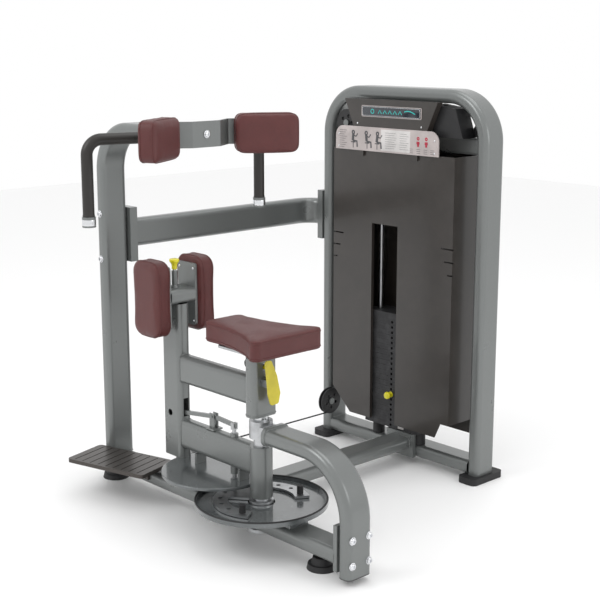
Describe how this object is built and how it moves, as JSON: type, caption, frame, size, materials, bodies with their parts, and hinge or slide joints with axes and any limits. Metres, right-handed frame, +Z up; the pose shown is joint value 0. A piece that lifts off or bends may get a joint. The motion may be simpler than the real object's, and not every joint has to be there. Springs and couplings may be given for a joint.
{
  "type": "rotary torso machine",
  "caption": "Weight-stack rotary torso machine: swivelling seat with knee pads and foot disc, fixed chest pads with hanging grips, shrouded weight tower and adjustable start angle.",
  "frame": {"origin": "middle of the whole machine's base, on the floor", "axes": "+Z up; +Y from the seat towards the weight tower; +X from the knee pads towards the bent leg behind the seat"},
  "size_m": [1.376, 1.4774, 1.47],
  "materials": {
    "frame_paint": "silver grey satin metallic powder coat",
    "gloss_disc": "glossy grey",
    "step_metal": "grooved anodised look",
    "bright_steel": "turned and plated",
    "chrome": "polished",
    "pad_leather": "burgundy upholstery vinyl",
    "rubber": "matt black",
    "black_plastic": "moulded",
    "shroud_plastic": "dark brown grey",
    "sign_print": "printed sheet",
    "weight_iron": "painted dark grey",
    "lever_yellow": "yellow",
    "knob_yellow": "yellow",
    "cable_steel": "black jacketed steel rope"
  },
  "bodies": {
    "base": {"base_rail": "frame_paint", "tube_end_caps": "black_plastic", "rubber_feet": "rubber", "post": "frame_paint", "overhead_arm": "frame_paint", "bent_leg": "frame_paint", "flange_plates": "frame_paint", "frame_bolts": "chrome", "bearing_housings": "bright_steel", "tray": "gloss_disc", "step_plate": "step_metal", "chest_pad_left": "pad_leather", "chest_pad_right": "pad_leather", "chest_bar": "frame_paint", "handle_frames": "frame_paint", "handle_grips": "rubber", "mid_tube": "frame_paint", "link_tube": "frame_paint", "tower_uprights": "frame_paint", "tower_arch": "frame_paint", "tower_foot_tube": "frame_paint", "tower_crossbar": "frame_paint", "shroud_left": "shroud_plastic", "shroud_right": "shroud_plastic", "shroud_sheets": "shroud_plastic", "header": "shroud_plastic", "sign_plates": "sign_print", "top_covers": "black_plastic", "guide_rods": "bright_steel", "resting_plates": "weight_iron", "drive_cable": "cable_steel", "stack_cable": "cable_steel"},
    "drive_group": {"drive_shaft": "bright_steel", "cable_drum": "black_plastic", "selector_plate": "bright_steel", "selector_bumpers": "rubber"},
    "swing_frame": {"swing_hub": "frame_paint", "lower_arm": "frame_paint", "foot_disc": "gloss_disc", "knee_post": "frame_paint", "swing_tube": "frame_paint", "seat_sleeve": "frame_paint", "sleeve_plastics": "black_plastic", "knee_crossbar": "frame_paint", "knee_pad_left": "pad_leather", "knee_pad_right": "pad_leather"},
    "release_button": {"release_rod": "bright_steel", "release_knob": "knob_yellow"},
    "rocker": {"rocker_arm": "frame_paint"},
    "lock": {"lock_pin": "bright_steel"},
    "seat": {"seat_post": "bright_steel", "seat_cushion": "pad_leather"},
    "seat_latch": {"seat_lever": "lever_yellow"},
    "lifted_stack": {"lifted_plates": "weight_iron", "head_and_stem": "weight_iron"},
    "weight_pin": {"selector_pin": "knob_yellow"},
    "corner_wheel": {"corner_pulley": "black_plastic"},
    "low_wheel": {"low_pulley": "black_plastic"},
    "top_wheel_left": {"top_pulley_left": "black_plastic"},
    "top_wheel_right": {"top_pulley_right": "black_plastic"}
  },
  "joints": [
    {"name": "drive_turn", "type": "hinge", "parent": "base", "child": "drive_group", "pos_m": [0.216, -0.35225, 0.2], "axis": [0, 0, -1], "range_deg": [0, 90]},
    {"name": "start_angle", "type": "hinge", "parent": "drive_group", "child": "swing_frame", "pos_m": [0.216, -0.35225, 0.2], "axis": [0, 0, 1], "range_deg": [-44, 88]},
    {"name": "release_push", "type": "slide", "parent": "swing_frame", "child": "release_button", "axis": [0, 0, 1], "range_m": [0, 0.024]},
    {"name": "rocker_turn", "type": "hinge", "parent": "swing_frame", "child": "rocker", "pos_m": [-0.031, -0.35225, 0.38], "axis": [0, 1, 0], "range_deg": [0, 6.7]},
    {"name": "lock_slide", "type": "slide", "parent": "swing_frame", "child": "lock", "axis": [0, 0, 1], "range_m": [-0.0128, 0]},
    {"name": "seat_height", "type": "slide", "parent": "swing_frame", "child": "seat", "axis": [0, 0, 1], "range_m": [0, 0.096]},
    {"name": "seat_lever_turn", "type": "hinge", "parent": "swing_frame", "child": "seat_latch", "pos_m": [0.26, -0.35225, 0.56], "axis": [0, 1, 0], "range_deg": [-8, 5]},
    {"name": "stack_lift", "type": "slide", "parent": "base", "child": "lifted_stack", "axis": [0, 0, 1], "range_m": [0, 0.1571], "deforming": ["stack_cable"]},
    {"name": "weight_pin_pull", "type": "slide", "parent": "lifted_stack", "child": "weight_pin", "axis": [0, -1, 0], "range_m": [0, 0.08]},
    {"name": "corner_wheel_turn", "type": "hinge", "parent": "base", "child": "corner_wheel", "pos_m": [-0.365, -0.20725, 0.115], "axis": [0, 0, 1], "range_deg": [0, 201]},
    {"name": "low_wheel_turn", "type": "hinge", "parent": "base", "child": "low_wheel", "pos_m": [-0.41, 0.57275, 0.165], "axis": [-1, 0, 0], "range_deg": [0, 181]},
    {"name": "top_wheel_left_turn", "type": "hinge", "parent": "base", "child": "top_wheel_left", "pos_m": [-0.36, 0.62275, 1.322], "axis": [0, -1, 0], "range_deg": [0, 181]},
    {"name": "top_wheel_right_turn", "type": "hinge", "parent": "base", "child": "top_wheel_right", "pos_m": [-0.11, 0.62275, 1.322], "axis": [0, -1, 0], "range_deg": [0, 181]}
  ],
  "couplings": [
    {"joint": "rocker_turn", "follows": "release_push", "rad_per_m": 4.8309},
    {"joint": "lock_slide", "follows": "release_push", "ratio": -0.5266},
    {"joint": "stack_lift", "follows": "drive_turn", "m_per_rad": 0.1},
    {"joint": "corner_wheel_turn", "follows": "drive_turn", "ratio": 2.2222},
    {"joint": "low_wheel_turn", "follows": "drive_turn", "ratio": 2},
    {"joint": "top_wheel_left_turn", "follows": "drive_turn", "ratio": 2},
    {"joint": "top_wheel_right_turn", "follows": "drive_turn", "ratio": 2}
  ]
}
